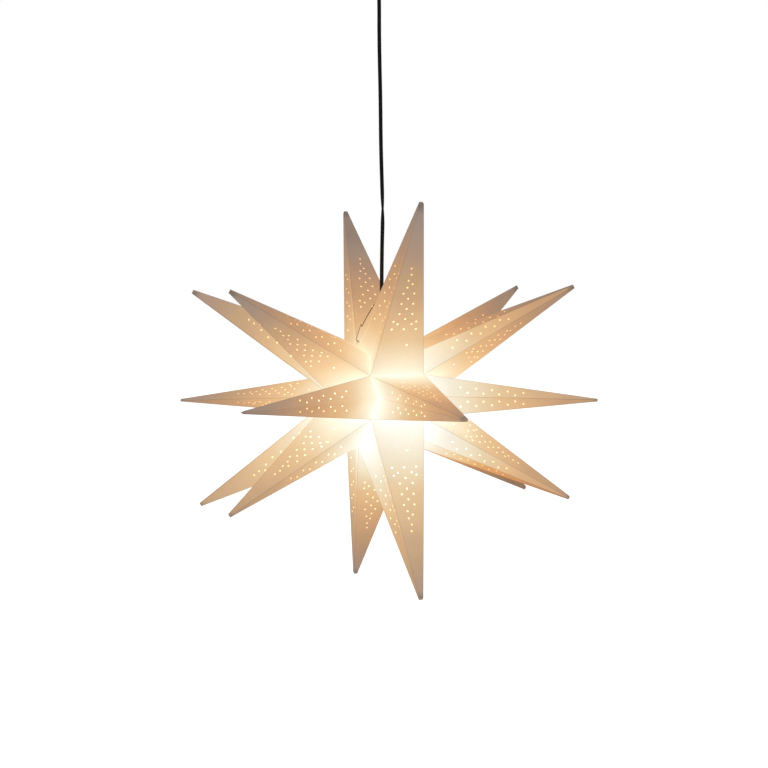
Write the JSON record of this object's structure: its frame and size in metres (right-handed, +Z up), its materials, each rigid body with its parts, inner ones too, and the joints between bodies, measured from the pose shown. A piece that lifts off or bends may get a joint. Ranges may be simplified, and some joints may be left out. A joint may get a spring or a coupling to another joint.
{
  "type": "moravian star pendant",
  "caption": "Hanging star of hollow perforated plastic points round a lampholder, on a flat flex from a ceiling hook plate and cup.",
  "frame": {"origin": "middle of the hook plate's ceiling face", "axes": "+Z up; -Y towards the front point of the star; X along the star's six-sided body"},
  "size_m": [0.4968, 0.6008, 0.8943],
  "materials": {
    "star_sheet": "translucent white sheet, satin, lit from inside",
    "flex_sheath": "black flex sheath, semi-matt",
    "core_insulation": "coloured core insulation",
    "zinc_steel": "zinc-plated steel",
    "black_plastic": "black moulded plastic",
    "clear_plastic": "natural terminal plastic",
    "brass": "plain brass",
    "white_plastic": "white thermoplastic",
    "porcelain": "porcelain",
    "nickel": "nickel-plated cap",
    "bulb_white": "white bulb body",
    "bulb_diffuser": "opal diffuser, lit"
  },
  "bodies": {
    "ceiling": {"ceiling_plate": "zinc_steel", "ceiling_hook": "zinc_steel", "hook_nut": "zinc_steel"},
    "ring": {"hanging_ring": "zinc_steel"},
    "hanger": {"clamp_body": "black_plastic", "clamp_cover": "black_plastic", "clamp_screws": "zinc_steel", "flex_tail": "flex_sheath", "mains_cores": "core_insulation", "terminal_block": "clear_plastic", "terminal_screws": "brass"},
    "pendant": {"flex_cord": "flex_sheath", "cord_gland": "white_plastic", "gland_nut": "white_plastic", "hanger_plate": "white_plastic", "holder_cap": "white_plastic", "holder_skirt": "white_plastic", "holder_insert": "porcelain", "screw_shell": "brass", "shade_ring": "white_plastic", "closing_flap_left": "star_sheet", "closing_flap_right": "star_sheet", "point_back": "star_sheet", "point_front": "star_sheet", "point_left_back": "star_sheet", "point_left_front": "star_sheet", "point_left_lower_back": "star_sheet", "point_left_lower_front": "star_sheet", "point_left_upper_back": "star_sheet", "point_left_upper_front": "star_sheet", "point_lower_back": "star_sheet", "point_lower_front": "star_sheet", "point_right_back": "star_sheet", "point_right_front": "star_sheet", "point_right_lower_back": "star_sheet", "point_right_lower_front": "star_sheet", "point_right_upper_back": "star_sheet", "point_right_upper_front": "star_sheet", "point_upper_back": "star_sheet", "point_upper_front": "star_sheet"},
    "cup": {"ceiling_cup": "black_plastic", "cup_bush": "black_plastic", "bush_screw": "zinc_steel"},
    "bulb_foot": {"bulb_tip_contact": "brass"},
    "bulb": {"bulb_screw_cap": "nickel", "bulb_collar": "bulb_white", "bulb_globe": "bulb_diffuser"}
  },
  "joints": [
    {"name": "swing_side", "type": "hinge", "parent": "ceiling", "child": "ring", "pos_m": [0, 0, -0.02887], "axis": [0, 1, 0], "range_deg": [-4, 4]},
    {"name": "swing_front", "type": "hinge", "parent": "ring", "child": "hanger", "pos_m": [0, 0, -0.04332], "axis": [1, 0, 0], "range_deg": [-4, 4]},
    {"name": "star_turn", "type": "hinge", "parent": "hanger", "child": "pendant", "pos_m": [0, 0, -0.06827], "axis": [0, 0, 1], "range_deg": [-180, 180]},
    {"name": "cup_slide", "type": "slide", "parent": "pendant", "child": "cup", "axis": [0, 0, -1], "range_m": [0, 0.3]},
    {"name": "bulb_travel", "type": "slide", "parent": "pendant", "child": "bulb_foot", "axis": [0, 0, -1], "range_m": [0, 0.01411]},
    {"name": "bulb_turn", "type": "hinge", "parent": "bulb_foot", "child": "bulb", "pos_m": [0, 0, -0.63], "axis": [0, 0, -1], "range_deg": [0, 1800]}
  ],
  "couplings": [
    {"joint": "bulb_travel", "follows": "bulb_turn", "m_per_rad": 0.00044882}
  ]
}
